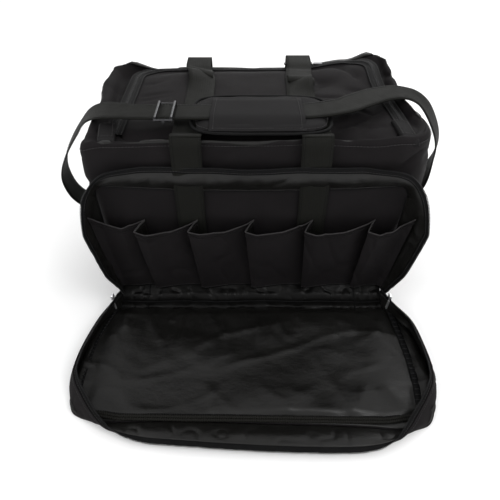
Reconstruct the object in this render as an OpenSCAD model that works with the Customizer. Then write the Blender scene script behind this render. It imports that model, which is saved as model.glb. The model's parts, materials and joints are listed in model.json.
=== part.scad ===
// Soft duffel gear bag with a zipped lid and a drop-down front organiser.
// Origin: centre of the base on the floor. +X to the bag's right, -Y to its front, +Z up. Millimetres.

/* [Bag] */
// Length of the bag, end to end
bag_w = 420; // [380:5:460]
// Depth of the bag, front to rear
bag_d = 255; // [230:5:280]
// Height of the body's walls
bag_h = 275; // [255:5:300]
// Thickness of the padded walls
wall = 5; // [3:0.5:6]

/* [Lid] */
// Half the width of the lid
lid_half = 175; // [150:1:182]
// Radius of the lid's rear corners
lid_r = 35; // [20:1:45]
// Width of each strip of zip tape
tape_w = 8; // [6:0.5:10]

/* [Front organiser] */
// Depth of the rim on the body side, up to the zip
rim_d = 34; // [28:1:38]
// Depth of the rim on the flap
flap_rim = 30; // [24:1:32]
// Height of the flap's panel
flap_h = 188; // [160:1:190]
// Height of the pleated pockets
pocket_h = 120; // [90:1:140]
// How far the pockets stand out
pocket_d = 14; // [8:1:18]

/* [Webbing] */
// Width of the webbing
web_w = 38; // [30:1:40]
// Thickness of the webbing
web_t = 2; // [1.5:0.1:2]
// Half the distance between a pair of handle legs
web_x = 82; // [70:1:95]

/* [Shoulder pad] */
// Length of the pad
pad_l = 176; // [160:1:200]
// Width of the pad
pad_w = 100; // [70:1:104]
// Thickness of the pad
pad_t = 8; // [6:1:9]

/* [Hidden] */
$fn = 64;

half_w = bag_w / 2;
half_d = bag_d / 2;
base_t = 4;
board_t = 3;
lid_z = bag_h + 1;
lid_t = 5;
lid_top = lid_z + lid_t;
lid_front = -half_d + wall + 1.5;
lid_rear = half_d - 18.5;
tape_t = 1;
gap = 1;

front_y = -half_d;
zip_y = front_y - rim_d - 0.5;
hinge_z = 30;
lip_z = 3;
lip_lean = 72;
seam_z = hinge_z + flap_h - 4;
gusset_z = 26;
rim_t = 2.5;

pockets = 6;
pocket_edge = [-205.5, -146, -74, 3, 82, 158, 205.5];
pocket_t = 2;
pocket_back = front_y - 2.3;
pocket_z = 32;

front_loop_z = lid_top + 7.5;
rear_loop_z = lid_top + 4.5;
loop_cross_y = -72;

pad_x = 12;
pad_y = -74;
pad_z = lid_top + 11;
strap_y = -80;
strap_z = pad_z + pad_t + 1.4;

ring_x = half_w + 13;
ring_z = 172;
ring_r = 21;
wire_r = 2;
hook_z = ring_z - ring_r;
hook_r = 9.2;
hook_wire_r = 2.2;
eye_drop = 38;

slider_l = 10;

// Centre lines of the two lengths of shoulder strap, from the tri-glide and from the pad to the hooks
left_route = [[-97, -80, 301.4], [-148, -79, 301.4], [-176, -70, 298], [-200, -56, 290], [-222, -41, 275],
    [-242, -28, 252], [-268, -14, 218], [-290, -5, 182], [-299, 0, 150], [-292, 0, 118], [-272, 0, 98],
    [-248, 0, 96], [-228, 0, 107]];
right_route = [[-96, -80, 301.4], [-40, -80, 301.4], [60, -78, 301.4], [112, -66, 301.6], [140, -48, 300.6],
    [169, -28, 299], [200, -16, 297], [227, -12, 288], [250, -9, 268], [270, -5, 238], [281, -2, 212],
    [284, 0, 186], [280, 0, 158], [273, 0, 132], [262, 0, 111], [248, 0, 100], [228, 0, 107]];

canvas = [0.17, 0.16, 0.17];
lining = [0.08, 0.08, 0.09];
webbing = [0.20, 0.20, 0.17];
zip = [0.10, 0.10, 0.11];
metal = [0.60, 0.60, 0.62];

// ---- Helpers -------------------------------------------------------------------------------------------------

// A box given by its lowest and highest corners
module slab(lo, hi) {
    translate(lo) cube(hi - lo);
}

// The lid's outline grown by g: square at the front, round at the rear corners
module lid_outline(g) {
    r = lid_r + g;
    w = lid_half + g;
    rear = lid_rear + g;
    translate([-w, lid_front]) square([2 * w, rear - r - lid_front]);
    translate([-w + r, lid_front]) square([2 * (w - r), rear - lid_front]);
    for (s = [-1, 1]) translate([s * (w - r), rear - r]) circle(r);
}

// A U-shaped band between two grown outlines of the lid
module lid_band(g_in, g_out, z, t) {
    translate([0, 0, z]) linear_extrude(t) difference() {
        lid_outline(g_out);
        translate([0, -gap]) lid_outline(g_in);
    }
}

// A flat rectangle with round corners
module round_rect(w, l, r) {
    square([w - 2 * r, l], center = true);
    square([w, l - 2 * r], center = true);
    for (sx = [-1, 1], sy = [-1, 1]) translate([sx * (w / 2 - r), sy * (l / 2 - r)]) circle(r);
}

function unit(v) = v / norm(v);
function along(p, i) = unit(p[min(i + 1, len(p) - 1)] - p[max(i - 1, 0)]);
function across(t) = unit([0, 1, 0] - t[1] * t);

// Webbing swept along a route, its width lying along Y
module ribbon(route, w, t) {
    n = len(route);
    points = [for (i = [0:n - 1])
        let (d = along(route, i), a = across(d), u = cross(d, a))
        for (c = [[-1, -1], [1, -1], [1, 1], [-1, 1]]) route[i] + c[0] * a * w / 2 + c[1] * u * t / 2];
    sides = [for (i = [0:n - 2], k = [0:3])
        [4 * i + k, 4 * i + (k + 1) % 4, 4 * i + 4 + (k + 1) % 4, 4 * i + 4 + k]];
    polyhedron(points, concat([[3, 2, 1, 0]], sides, [[for (k = [0:3]) 4 * (n - 1) + k]]));
}

// A flat U of webbing: two legs from y_end and a crossing whose far edge is at y_cross
module handle_loop(y_end, y_cross, z) {
    lo = min(y_end, y_cross);
    hi = max(y_end, y_cross);
    far = y_cross < y_end ? y_cross : y_cross - web_w;
    for (s = [-1, 1]) slab([s * web_x - web_w / 2, lo, z], [s * web_x + web_w / 2, hi, z + web_t]);
    slab([-web_x, far, z], [web_x, far + web_w, z + web_t]);
}

// ---- Shell ---------------------------------------------------------------------------------------------------

module base_panel() color(canvas)
    slab([-half_w, -half_d, 0], [half_w, half_d, base_t]);

module base_board() color(zip)
    slab([-half_w + 8, -half_d + 8, base_t], [half_w - 8, half_d - 8, base_t + board_t]);

module front_panel() color(canvas)
    slab([-half_w, -half_d, base_t], [half_w, -half_d + wall, lid_top]);

module rear_panel() color(canvas)
    slab([-half_w, half_d - wall, base_t], [half_w, half_d, bag_h]);

module end_panel(s) color(canvas)
    translate([s * (half_w - wall / 2), 0, (base_t + bag_h) / 2])
        cube([wall, bag_d - 2 * wall, bag_h - base_t], center = true);

module top_border() color(canvas)
    translate([0, 0, bag_h]) linear_extrude(lid_t) difference() {
        translate([-half_w, -half_d + wall]) square([bag_w, bag_d - wall]);
        translate([0, -gap - 1]) lid_outline(3);
    }

module lid_zip_tape() color(zip)
    lid_band(2 * gap, 2 * gap + tape_w, lid_top, tape_t);

module zip_end_tabs() color(canvas)
    for (s = [-1, 1]) translate([s * (lid_half + 16), lid_front + 28, lid_top + tape_t])
        linear_extrude(1.5) round_rect(20, 50, 3);

// ---- Front organiser -----------------------------------------------------------------------------------------

module pocket(i) color(canvas)
    translate([pocket_edge[i], pocket_back, pocket_z]) {
        w = pocket_edge[i + 1] - pocket_edge[i] - 0.5;
        d = pocket_d;
        lean = 8;
        linear_extrude(pocket_h) polygon([[0, 0], [lean, -d], [w - lean, -d], [w, 0], [w - pocket_t, 0],
            [w - lean - 1.4, -d + pocket_t], [lean + 1.4, -d + pocket_t], [pocket_t, 0]]);
        linear_extrude(pocket_t) polygon([[0, 0], [lean, -d], [w - lean, -d], [w, 0]]);
    }

module rim_side(s) color(canvas)
    translate([s * (half_w - rim_t / 2), 0, 0])
        slab([-rim_t / 2, zip_y + tape_w, gusset_z], [rim_t / 2, front_y, seam_z]);

module bottom_gusset() color(lining)
    slab([-half_w + rim_t, zip_y + 1.5, gusset_z], [half_w - rim_t, front_y, gusset_z + 2]);

module rim_zip_tape() color(zip)
    for (s = [-1, 1]) translate([s * (half_w - rim_t / 2), 0, 0])
        slab([-0.75, zip_y + 1.5, gusset_z], [0.75, zip_y + tape_w, seam_z]);

module rim_top() color(canvas)
    slab([-half_w + 5, front_y - 6, seam_z + 3], [half_w - 5, front_y - 4, seam_z + 26]);

module rim_top_tape() color(zip)
    slab([-half_w + 5, front_y - 5.75, seam_z + 26], [half_w - 5, front_y - 4.25, seam_z + 33]);

// ---- Flap ----------------------------------------------------------------------------------------------------

module flap_panel() color(canvas)
    slab([-half_w, zip_y - flap_h, 0], [half_w, zip_y - 1, base_t]);

// The two side walls of the flap's tray between two heights
module flap_walls(t, z0, z1) {
    for (s = [-1, 1]) translate([s * (half_w - rim_t / 2), 0, 0])
        slab([-t / 2, zip_y - flap_h, z0], [t / 2, zip_y - 1, z1]);
}

module flap_rim_wall() color(canvas) {
    flap_walls(rim_t, base_t, flap_rim - tape_w);
    slab([-half_w + rim_t, zip_y - 3, base_t], [half_w - rim_t, zip_y - 1, flap_rim - 3]);
}

module flap_zip_tape() color(zip)
    flap_walls(1.5, flap_rim - tape_w, flap_rim);

// The flap's far rim, which leans outward when the flap lies open
module lean_out(lo, hi) {
    translate([0, zip_y - flap_h - 1, lip_z]) rotate([lip_lean, 0, 0]) slab(lo, hi);
}

module flap_lip() color(canvas)
    lean_out([-half_w + 4, -rim_t / 2, 1], [half_w - 4, rim_t / 2, flap_rim - tape_w]);

module flap_lip_tape() color(zip)
    lean_out([-half_w + 4, -0.75, flap_rim - tape_w], [half_w - 4, 0.75, flap_rim]);

module flap_lining() color(lining)
    slab([-half_w + 4, zip_y - flap_h + 4, base_t], [half_w - 4, zip_y - 4, base_t + 1]);

module flap_binding() color(zip)
    for (s = [-1, 1]) translate([s * (half_w - 8), 0, 0])
        slab([-3, zip_y - flap_h + 10, base_t + 1], [3, zip_y - 10, base_t + 2.2]);

// ---- Lid -----------------------------------------------------------------------------------------------------

module lid_panel() color(canvas)
    translate([0, 0, lid_z]) linear_extrude(lid_t) lid_outline(0);

module lid_lining() color(lining)
    translate([0, 0, lid_z - 1.3]) linear_extrude(1.3) translate([0, 3]) lid_outline(-6);

module lid_zip_edge() color(zip)
    lid_band(gap - tape_w, gap, lid_top, tape_t);

// ---- Handles -------------------------------------------------------------------------------------------------

module front_webbing() color(webbing)
    for (s = [-1, 1]) slab([s * web_x - web_w / 2, front_y - web_t, gusset_z + 4],
        [s * web_x + web_w / 2, front_y, front_loop_z - gap]);

module rear_webbing() color(webbing)
    for (s = [-1, 1]) slab([s * web_x - web_w / 2, half_d, 20],
        [s * web_x + web_w / 2, half_d + web_t, rear_loop_z - gap]);

module front_handle() color(webbing)
    handle_loop(front_y - web_t, loop_cross_y + web_w, front_loop_z);

module rear_handle() color(webbing)
    handle_loop(half_d + web_t, loop_cross_y, rear_loop_z);

// ---- Shoulder strap ------------------------------------------------------------------------------------------

module strap_left() color(webbing)
    ribbon(left_route, web_w, web_t);

module strap_right() color(webbing)
    ribbon(right_route, web_w, web_t);

module shoulder_pad() color(canvas)
    translate([pad_x, pad_y, pad_z + pad_t / 2]) hull()
        for (sx = [-1, 1], sy = [-1, 1])
            translate([sx * (pad_l / 2 - 18), sy * (pad_w / 2 - 18), 0]) {
                cylinder(h = 2, r = 18, center = true, $fn = 32);
                cylinder(h = pad_t, r = 14, center = true, $fn = 32);
            }

module pad_sleeve() color(canvas)
    translate([pad_x - 5, pad_y - 6, strap_z + web_t / 2 + 0.4]) linear_extrude(1.5) round_rect(116, 80, 10);

// Wire frame with a middle bar, around the webbing
module triglide() color(metal)
    translate([-108, strap_y, strap_z]) {
        for (s = [-1, 1]) translate([0, s * 21.5, 0]) rotate([0, 90, 0])
            cylinder(h = 20, r = 1.6, center = true);
        for (x = [-10, 0, 10]) translate([x, 0, x == 0 ? -3 : 3]) rotate([90, 0, 0])
            cylinder(h = 43, r = 1.6, center = true);
        for (x = [-10, 0, 10], s = [-1, 1]) translate([x, s * 21.5, x == 0 ? -1.5 : 1.5])
            cube([3.2, 3.2, 3.2], center = true);
    }

// Sewn tab with a sleeve for the straight bar of the D-ring
module dring_loops() color(webbing)
    for (s = [-1, 1]) scale([s, 1, 1]) difference() {
        union() {
            slab([half_w, -web_w / 2, 166], [half_w + 2.5, web_w / 2, 245]);
            slab([half_w + 2.5, -17, 170], [ring_x, 17, 174]);
            translate([ring_x, 0, ring_z]) rotate([90, 0, 0]) cylinder(h = 34, r = 4.5, center = true);
        }
        translate([ring_x, 0, ring_z]) rotate([90, 0, 0]) cylinder(h = 36, r = wire_r + 0.05, center = true);
    }

module dring(s) color(metal)
    translate([s * ring_x, 0, ring_z]) {
        rotate([90, 0, 0]) cylinder(h = 2 * ring_r, r = wire_r, center = true);
        rotate([90, 0, 90]) rotate([0, 0, 180]) rotate_extrude(angle = 180)
            translate([ring_r, 0]) circle(wire_r, $fn = 24);
        for (e = [-1, 1]) translate([0, e * ring_r, 0]) sphere(wire_r + 0.01, $fn = 24);
    }

// Round hook with a gap on its outer side for the gate, a swivel post and a square eye for the webbing
module snap_hook(s) color(metal)
    translate([s * ring_x, 0, hook_z]) scale([s, 1, 1]) {
        difference() {
            rotate([90, 0, 0]) rotate_extrude() translate([hook_r, 0]) circle(hook_wire_r, $fn = 24);
            slab([4, -5, -6], [14, 5, 7]);
        }
        translate([0, 0, -26]) cylinder(h = 17, r = 3.2);
        translate([0, 0, -20]) cylinder(h = 3, r = 5);
        translate([0, 0, -26]) rotate([90, 0, 0]) cylinder(h = 46, r = wire_r, center = true);
        translate([0, 0, -eye_drop]) rotate([90, 0, 0]) cylinder(h = 46, r = wire_r, center = true);
        for (e = [-1, 1]) translate([0, e * 22, (-26 - eye_drop) / 2])
            cube([2 * wire_r, 2 * wire_r, eye_drop - 26 + 2 * wire_r], center = true);
    }

module gate(s) color(metal)
    translate([s * (ring_x + hook_r), 0, hook_z - 5]) cylinder(h = 11, r = 1.7);

// ---- Zip sliders ---------------------------------------------------------------------------------------------

lid_slider_x = [web_x - 10, web_x + 10];
lid_slider_y = lid_rear + 6;

module lid_slider(i) color(metal)
    translate([lid_slider_x[i], lid_slider_y, lid_top + tape_t + 0.3])
        linear_extrude(2.2) round_rect(slider_l, 7, 2);

module lid_pull(i) color(metal) {
    s = i == 0 ? -1 : 1;
    translate([lid_slider_x[i] + s * 13.4, lid_slider_y, lid_top + tape_t + 0.4])
        linear_extrude(1.6) round_rect(14, 6, 2);
}

module pocket_slider(s) color(metal)
    translate([s * (half_w + 0.3), zip_y, hinge_z + 10])
        rotate([0, s * 90, 0]) linear_extrude(3) round_rect(slider_l, 8, 2);

module pocket_pull(s) color(metal)
    translate([s * (half_w + 0.8), zip_y, hinge_z - 7])
        rotate([0, s * 90, 0]) linear_extrude(1.6) round_rect(22, 6, 2);

// ---- Nodes ---------------------------------------------------------------------------------------------------

base_panel();
base_board();
front_panel();
rear_panel();
end_panel(-1);  // end_panel_left
end_panel(1);  // end_panel_right
top_border();
lid_zip_tape();
zip_end_tabs();
for (i = [0:pockets - 1]) pocket(i);
rim_side(-1);  // rim_left
rim_side(1);  // rim_right
bottom_gusset();
rim_zip_tape();
front_webbing();
rear_webbing();
dring_loops();
rim_top();
rim_top_tape();
flap_panel();
flap_rim_wall();
flap_lining();
flap_binding();
flap_zip_tape();
flap_lip();
flap_lip_tape();
lid_panel();
lid_lining();
lid_zip_edge();
front_handle();
rear_handle();
strap_left();
strap_right();
shoulder_pad();
pad_sleeve();
snap_hook(-1);  // snap_hook_left
snap_hook(1);  // snap_hook_right
triglide();
dring(-1);  // dring_left
dring(1);  // dring_right
gate(-1);  // gate_left
gate(1);  // gate_right
lid_slider(0);  // lid_slider_left
lid_slider(1);  // lid_slider_right
lid_pull(0);  // lid_pull_left
lid_pull(1);  // lid_pull_right
pocket_slider(-1);  // pocket_slider_left
pocket_slider(1);  // pocket_slider_right
pocket_pull(-1);  // pocket_pull_left
pocket_pull(1);  // pocket_pull_right
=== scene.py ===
"""Soft duffel gear bag with a drop-down front organiser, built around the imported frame.

Lengths in this script are millimetres in the frame's axes (+X right, -Y front, +Z up); meshes are made in metres.
"""
import json
import math

import bpy
import numpy as np
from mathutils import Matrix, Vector
from mathutils.bvhtree import BVHTree


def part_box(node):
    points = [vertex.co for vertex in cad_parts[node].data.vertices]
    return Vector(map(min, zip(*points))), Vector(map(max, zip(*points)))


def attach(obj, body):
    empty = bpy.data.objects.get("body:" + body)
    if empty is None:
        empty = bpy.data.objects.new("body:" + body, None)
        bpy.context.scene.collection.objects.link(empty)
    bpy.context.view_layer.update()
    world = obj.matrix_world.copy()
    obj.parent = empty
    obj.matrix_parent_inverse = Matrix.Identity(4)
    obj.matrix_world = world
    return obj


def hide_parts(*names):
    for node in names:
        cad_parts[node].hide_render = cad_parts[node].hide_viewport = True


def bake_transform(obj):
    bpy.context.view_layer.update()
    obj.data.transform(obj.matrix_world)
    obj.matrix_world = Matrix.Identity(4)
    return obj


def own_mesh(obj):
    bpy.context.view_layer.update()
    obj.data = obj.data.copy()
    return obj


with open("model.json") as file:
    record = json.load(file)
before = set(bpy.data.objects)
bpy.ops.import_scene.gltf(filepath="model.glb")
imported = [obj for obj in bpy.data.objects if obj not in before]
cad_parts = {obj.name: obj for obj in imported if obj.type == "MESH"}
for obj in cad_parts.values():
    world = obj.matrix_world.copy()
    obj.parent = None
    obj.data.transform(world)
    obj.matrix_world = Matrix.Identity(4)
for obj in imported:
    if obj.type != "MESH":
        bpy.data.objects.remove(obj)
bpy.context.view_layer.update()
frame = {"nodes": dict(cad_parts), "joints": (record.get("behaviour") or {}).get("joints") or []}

MM = 0.001
NODES = frame["nodes"]


def box_mm(node):
    lo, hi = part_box(node)
    return np.array(lo) / MM, np.array(hi) / MM


# ---- Sizes from the frame ----

(_, FRONT, _), (HALF_W, REAR, _) = box_mm("base_panel")
LID_LO, LID_HI = box_mm("lid_panel")
HINGE_Z = next(j["pos_m"][2] for j in frame["joints"] if j["name"] == "flap_close") / MM
WEB_W = 38.0        # width of the webbing
WEB_T = 1.8         # thickness of the webbing
WEB_X = box_mm("front_webbing")[1][0] - WEB_W / 2
SEAM_Z = box_mm("rim_left")[1][2] + 2
POCKET_Z = box_mm("pocket_1")[0][2]


# ---- Numbers ----

def lattice_noise(p, seed):
    """Smooth noise from -1 to 1 at each point, the same in every run."""
    shape = p.shape[:-1]
    p = p.reshape(-1, 3)
    cell = np.floor(p).astype(np.int64)
    f = p - cell
    f = f * f * (3 - 2 * f)
    total = np.zeros(len(p))
    for corner in np.ndindex(2, 2, 2):
        c = cell + corner
        h = (c[:, 0] * 73856093) ^ (c[:, 1] * 19349663) ^ (c[:, 2] * 83492791) ^ (seed * 26544357)
        h = ((h ^ (h >> 13)) * 1274126177) & 0x7FFFFFFF
        value = ((h ^ (h >> 15)) & 0xFFFF) / 32767.5 - 1
        total += value * np.prod(np.where(corner, f, 1 - f), axis=1)
    return total.reshape(shape)


def rumple(p, size, seed):
    """Layered noise whose largest waves are about size millimetres across."""
    out = np.zeros(p.shape[:-1])
    for k in range(3):
        out += lattice_noise(p / size * 2 ** k + 7.3 * k, seed + k) / 2 ** k
    return out / 1.6


def creases(p, size, seed):
    """Sharp-crested folds, from 0 to 1."""
    return np.clip(1 - np.abs(lattice_noise(p / size, seed)) * 2.6, 0, 1) ** 2


def ease(x, a, b):
    """0 up to a, 1 from b on, and a smooth rise between them."""
    t = np.clip((np.asarray(x, float) - a) / (b - a), 0, 1)
    return t * t * (3 - 2 * t)


def mix(a, b, t):
    return a + (b - a) * t


def steps(n, **options):
    return np.linspace(0, 1, n, **options)


def vec(*parts):
    """Points from their coordinates, each an array or a plain number."""
    return np.stack(np.broadcast_arrays(*parts), axis=-1)


def smooth(a, times):
    """Averages a line with its neighbours, in place, with its ends held."""
    for _ in range(times):
        a[1:-1] = 0.25 * a[:-2] + 0.5 * a[1:-1] + 0.25 * a[2:]


def spline(points, n):
    """n points evenly spaced along a Catmull-Rom curve through the given points."""
    p = np.array(points, float)
    p = np.vstack([2 * p[0] - p[1], p, 2 * p[-1] - p[-2]])
    out = []
    for i in range(1, len(p) - 2):
        t = steps(24, endpoint=False)[:, None]
        a, b, c, d = p[i - 1:i + 3]
        out.append(0.5 * (2 * b + (c - a) * t + (2 * a - 5 * b + 4 * c - d) * t ** 2
                          + (3 * b - a - 3 * c + d) * t ** 3))
    return resample(np.vstack(out + [p[-2:-1]]), n)


def resample(path, n):
    step = np.maximum(np.linalg.norm(np.diff(path, axis=0), axis=1), 1e-9)
    s = np.concatenate([[0], np.cumsum(step)])
    at = np.linspace(0, s[-1], n)
    return np.stack([np.interp(at, s, path[:, k]) for k in range(path.shape[1])], axis=1)


def path_length(path):
    return float(np.linalg.norm(np.diff(path, axis=0), axis=1).sum())


def hill(x, at, width):
    """1 at a place, falling to 0 on both sides of it."""
    return np.exp(-((x - at) / width) ** 2)


def unit(v):
    return v / np.maximum(np.linalg.norm(v, axis=-1, keepdims=True), 1e-9)


def tangents(path):
    return unit(np.gradient(path, axis=0))


def square(across, along):
    """Directions across, made square to along at each point."""
    a = np.broadcast_to(np.asarray(across, float), along.shape)
    return unit(a - (a * along).sum(axis=1, keepdims=True) * along)


# ---- Materials ----

class Shader:
    """A node tree with short ways to add and join nodes."""

    def __init__(self, name, color, roughness, metallic=0.0, specular=0.5):
        self.material = bpy.data.materials.new(name)
        self.material.use_nodes = True
        self.tree = self.material.node_tree
        self.bsdf = self.tree.nodes["Principled BSDF"]
        for key, value in (("Base Color", (*color, 1)), ("Roughness", roughness), ("Metallic", metallic),
                           ("Specular IOR Level", specular)):
            self.bsdf.inputs[key].default_value = value
        self.color = color
        self.bump_from = None

    def node(self, kind, inputs=None, **settings):
        n = self.tree.nodes.new(kind)
        for key, value in settings.items():
            setattr(n, key, value)
        for key, value in (inputs or {}).items():
            if isinstance(value, bpy.types.NodeSocket):
                self.tree.links.new(value, n.inputs[key])
            else:
                n.inputs[key].default_value = value
        return n

    def math(self, operation, a, b=0.0):
        return self.node("ShaderNodeMath", {0: a, 1: b}, operation=operation).outputs[0]

    def place(self, kind="Object"):
        return self.node("ShaderNodeTexCoord").outputs[kind]

    def noise(self, at, scale, detail=4.0, rough=0.55):
        n = self.node("ShaderNodeTexNoise", {"Vector": at, "Scale": scale, "Detail": detail, "Roughness": rough})
        return n.outputs["Fac"]

    def vary_color(self, factor, low, high):
        """The base colour times low to high as factor goes from 0 to 1."""
        ramp = self.node("ShaderNodeValToRGB", {"Fac": factor})
        for stop, k, at in ((ramp.color_ramp.elements[0], low, 0.3), (ramp.color_ramp.elements[1], high, 0.7)):
            stop.position = at
            stop.color = (*(c * k for c in self.color), 1)
        self.tree.links.new(ramp.outputs["Color"], self.bsdf.inputs["Base Color"])

    def vary_roughness(self, factor, low, high):
        r = self.node("ShaderNodeMapRange", {"Value": factor, "To Min": low, "To Max": high})
        self.tree.links.new(r.outputs["Result"], self.bsdf.inputs["Roughness"])

    def bump(self, height, distance, strength=1.0):
        inputs = {"Height": height, "Distance": distance * MM, "Strength": strength}
        if self.bump_from is not None:
            inputs["Normal"] = self.bump_from
        self.bump_from = self.node("ShaderNodeBump", inputs).outputs["Normal"]
        self.tree.links.new(self.bump_from, self.bsdf.inputs["Normal"])


def weave_height(shader, at, pitch):
    """A plain weave on any face: threads along the three axes, over and under each other."""
    split = shader.node("ShaderNodeSeparateXYZ", {"Vector": at})
    k = 2 * math.pi / (pitch * MM)
    sines = [shader.math("SINE", shader.math("MULTIPLY", split.outputs[i], k)) for i in range(3)]
    normal = shader.node("ShaderNodeNewGeometry").outputs["Normal"]
    facing = shader.node("ShaderNodeSeparateXYZ", {"Vector": normal})
    total = 0.0
    for axis in range(3):
        a, b = [sines[i] for i in range(3) if i != axis]
        weight = shader.math("POWER", facing.outputs[axis], 2.0)
        total = shader.math("ADD", total, shader.math("MULTIPLY", shader.math("MULTIPLY", a, b), weight))
    return total


def canvas_material(name, color):
    s = Shader(name, color, 0.74, specular=0.09)
    at = s.place()
    cloudy = s.noise(at, 22.0, 5.0)
    grain = s.noise(at, 900.0, 2.0, 0.7)
    s.vary_color(s.math("ADD", s.math("MULTIPLY", cloudy, 0.5), s.math("MULTIPLY", grain, 0.5)), 0.66, 1.36)
    s.vary_roughness(cloudy, 0.62, 0.84)
    s.bump(weave_height(s, at, 1.3), 0.12, 0.7)
    s.bump(s.noise(at, 60.0, 4.0), 0.8, 0.5)
    return s.material


def lining_material(name, color, specular):
    s = Shader(name, color, 0.32, specular=specular)
    at = s.place()
    s.vary_color(s.noise(at, 30.0), 0.8, 1.3)
    s.vary_roughness(s.noise(at, 45.0, 5.0), 0.24, 0.40)
    s.bump(weave_height(s, at, 0.7), 0.04, 0.5)
    stretched = s.node("ShaderNodeMapping", {"Vector": at, "Scale": (1.0, 1.7, 1.0)}).outputs["Vector"]
    s.bump(s.noise(stretched, 40.0, 5.0, 0.6), 1.8, 0.6)
    return s.material


def webbing_material(name, color):
    """Ribbed webbing; the UVs are metres across and along it."""
    s = Shader(name, color, 0.62, specular=0.08)
    flat = s.node("ShaderNodeSeparateXYZ", {"Vector": s.place("UV")})
    ribs, weft = [s.math("SINE", s.math("MULTIPLY", flat.outputs[i], 2 * math.pi / step))
                  for i, step in ((0, 0.0032), (1, 0.0016))]
    s.vary_color(s.math("ADD", 0.5, s.math("MULTIPLY", s.math("MULTIPLY", ribs, weft), 0.3)), 0.7, 1.3)
    s.vary_roughness(s.noise(s.place(), 70.0), 0.5, 0.72)
    s.bump(s.math("ADD", s.math("MULTIPLY", ribs, 0.4), s.math("MULTIPLY", weft, 0.6)), 0.16, 0.8)
    return s.material


def tape_material(name, color, rough=0.5, specular=0.2):
    """Woven zip tape and thread: a fine herringbone."""
    s = Shader(name, color, rough, specular=specular)
    at = s.place()
    s.vary_color(s.noise(at, 400.0, 2.0), 0.7, 1.4)
    s.bump(weave_height(s, at, 0.9), 0.08, 0.7)
    return s.material


def metal_material(name, color, rough):
    s = Shader(name, color, rough, metallic=1.0)
    at = s.place()
    s.vary_color(s.noise(at, 160.0, 5.0), 0.75, 1.2)
    s.vary_roughness(s.noise(at, 420.0, 3.0), rough * 0.7, rough * 1.5)
    s.bump(s.noise(at, 1400.0, 2.0), 0.02, 0.5)
    return s.material


def board_material(name, color):
    s = Shader(name, color, 0.5)
    at = s.place()
    s.vary_color(s.noise(at, 80.0), 0.8, 1.2)
    s.bump(s.noise(at, 700.0, 3.0), 0.1, 0.5)
    return s.material


CANVAS = canvas_material("canvas", (0.0078, 0.0068, 0.0073))
CANVAS_PAD = canvas_material("canvas_pad", (0.0105, 0.0100, 0.0104))
LINING = lining_material("lining", (0.0050, 0.0048, 0.0044), 0.3)
# A darker copy of the lining for the gusset: painted shade for its recess between the pockets and the flap's floor.
LINING_PAINTED_SHADE = lining_material("lining_painted_shade", (0.0028, 0.0027, 0.0026), 0.10)
WEBBING = webbing_material("webbing", (0.0074, 0.0075, 0.0064))
BINDING = webbing_material("binding", (0.0105, 0.0102, 0.0090))
TAPE = tape_material("zip_tape", (0.0042, 0.0042, 0.0044), 0.62, 0.07)
COIL = tape_material("zip_coil", (0.0075, 0.0075, 0.0080), 0.34)
THREAD = tape_material("thread", (0.0320, 0.0305, 0.0310), 0.55)
# The pocket lips' hem, several times lighter than the canvas: a painted highlight along each lip.
HEM_PAINTED_HIGHLIGHT = tape_material("pocket_hem_painted_highlight", (0.0260, 0.0245, 0.0250), 0.6, 0.15)
DARK_THREAD = tape_material("dark_thread", (0.0040, 0.0040, 0.0040), 0.55)
DARK_METAL = metal_material("dark_metal", (0.06, 0.06, 0.063), 0.2)
BRIGHT_METAL = metal_material("slider_metal", (0.90, 0.90, 0.91), 0.42)
BOARD = board_material("board", (0.02, 0.02, 0.022))


# ---- Meshes ----

def linked(name, data):
    ob = bpy.data.objects.new(name, data)
    bpy.context.scene.collection.objects.link(ob)
    return ob


def mesh_part(verts, faces, materials, uvs=None):
    me = bpy.data.meshes.new("part")
    me.from_pydata((np.asarray(verts, float) * MM).tolist(), [], faces)
    for m in materials:
        me.materials.append(m)
    if uvs is not None:
        layer = me.uv_layers.new(name="flat")
        loops = np.zeros(len(me.loops), np.int32)
        me.loops.foreach_get("vertex_index", loops)
        layer.data.foreach_set("uv", np.asarray(uvs, np.float32)[loops].ravel())
    me.polygons.foreach_set("use_smooth", np.ones(len(me.polygons), bool))
    me.update()
    return linked("part", me)


def grid_faces(rows, cols, wrap):
    r, c = np.meshgrid(np.arange(rows - 1), np.arange(cols if wrap else cols - 1), indexing="ij")
    d = (c + 1) % cols
    return vec(r * cols + c, r * cols + d, (r + 1) * cols + d, (r + 1) * cols + c).reshape(-1, 4).tolist()


def grid(p, materials, wrap=False, cap_first=False, cap_last=False):
    """A sheet through a (rows, columns, 3) array of points, with UVs in metres of cloth."""
    rows, cols = p.shape[:2]
    faces = grid_faces(rows, cols, wrap)
    u, v = [np.concatenate([[0], np.cumsum(np.linalg.norm(np.diff(p, axis=k), axis=2).mean(axis=1 - k))]) * MM
            for k in (1, 0)]
    if cap_first:
        faces.append(list(range(cols))[::-1])
    if cap_last:
        faces.append(list(range((rows - 1) * cols, rows * cols)))
    return mesh_part(p.reshape(-1, 3), faces, materials, vec(*np.meshgrid(u, v)).reshape(-1, 2))


def settle(ob):
    """Applies every modifier, so that the mesh is final."""
    bpy.context.view_layer.update()
    done = bpy.data.meshes.new_from_object(ob.evaluated_get(bpy.context.evaluated_depsgraph_get()))
    ob.modifiers.clear()
    ob.data = done
    return ob


def cloth(p, materials, thickness, offset=0.0, **caps):
    """A sheet with its thickness. Of two materials the second is the other face's."""
    ob = grid(p, materials, **caps)
    solid = ob.modifiers.new("thickness", "SOLIDIFY")
    solid.thickness = thickness * MM
    solid.offset = offset
    solid.material_offset = len(materials) - 1
    solid.thickness_clamp = 1.0
    return settle(ob)


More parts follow.
